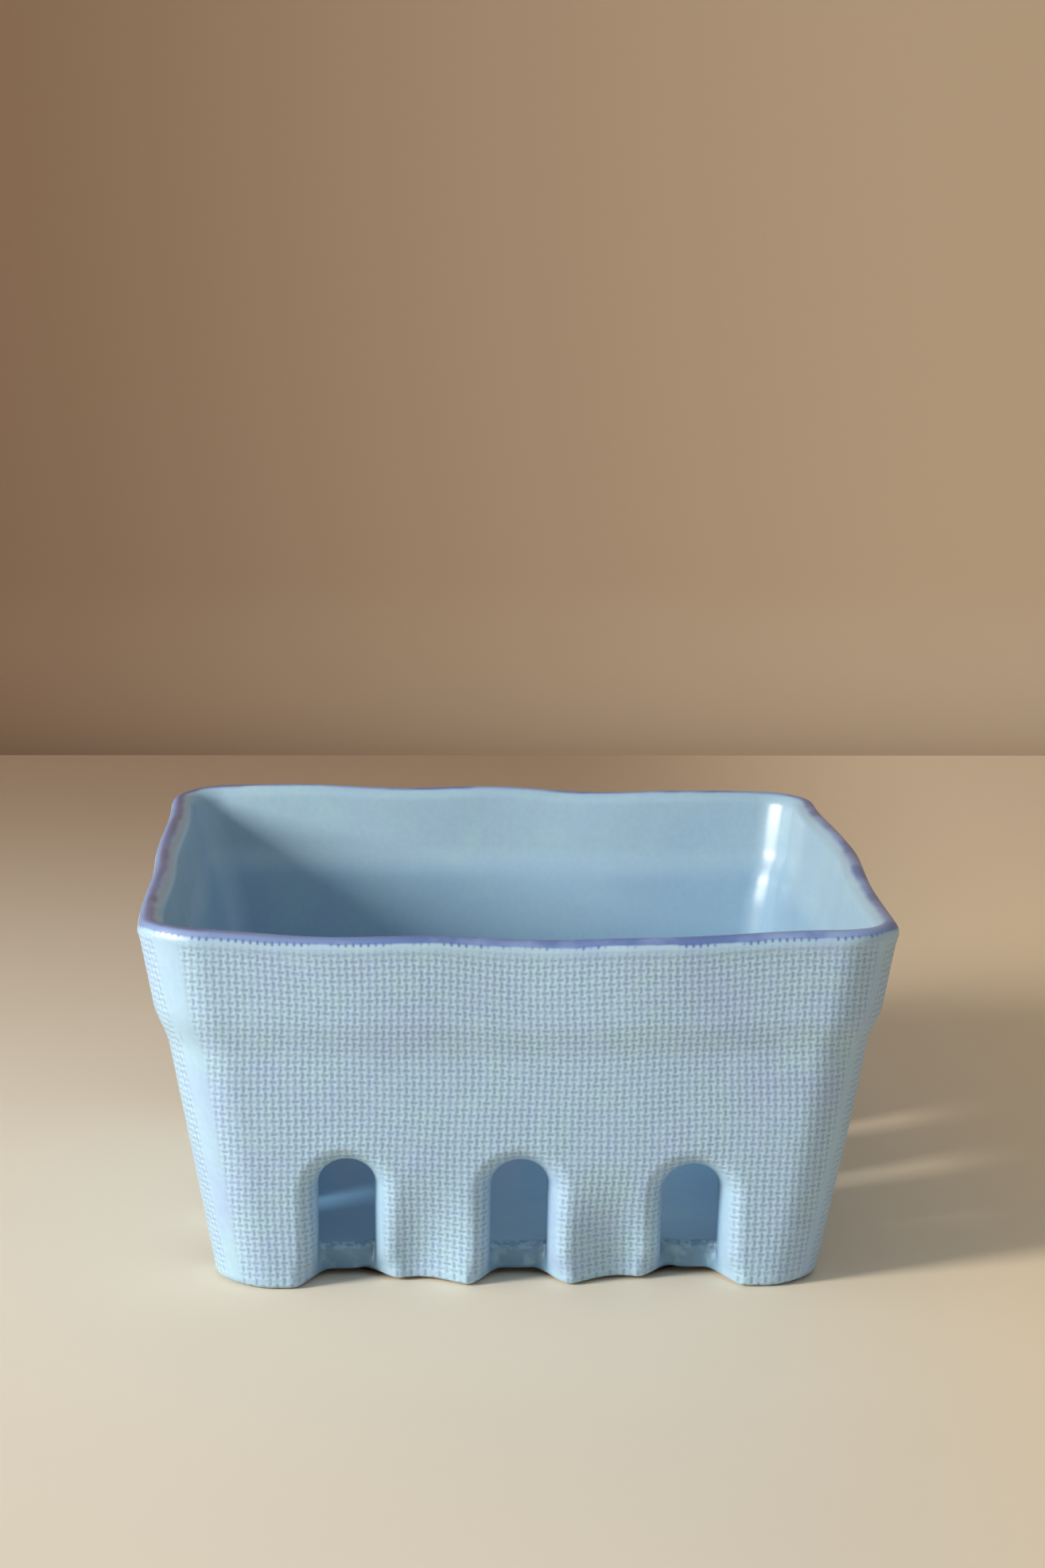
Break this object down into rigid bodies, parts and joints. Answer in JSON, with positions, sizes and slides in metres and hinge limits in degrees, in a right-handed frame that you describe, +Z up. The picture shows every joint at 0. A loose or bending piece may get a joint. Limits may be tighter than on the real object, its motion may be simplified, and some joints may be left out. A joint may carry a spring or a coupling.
{
  "type": "stoneware fruit basket",
  "caption": "Square stoneware fruit basket with sloping cloth-textured walls, rolled-in arched vents at the foot, a let-in floor and a smooth rounded rim.",
  "frame": {"origin": "middle of the foot, on the surface that the basket stands on", "axes": "+Z up, front wall towards -Y, +X to the right of a viewer facing the front wall"},
  "size_m": [0.1402, 0.14, 0.0705],
  "materials": {
    "wall_glaze": "pale blue satin glaze over a plain-weave cloth impression outside, smooth and glossy inside",
    "floor_glaze": "smooth glossy blue glaze, unglazed underneath",
    "rim_glaze": "smooth glossy glaze with a brushed violet-blue line along the top edge"
  },
  "bodies": {
    "root": {"front_wall": "wall_glaze", "right_wall": "wall_glaze", "rear_wall": "wall_glaze", "left_wall": "wall_glaze", "floor_slab": "floor_glaze", "rim_coil": "rim_glaze"}
  },
  "joints": []
}
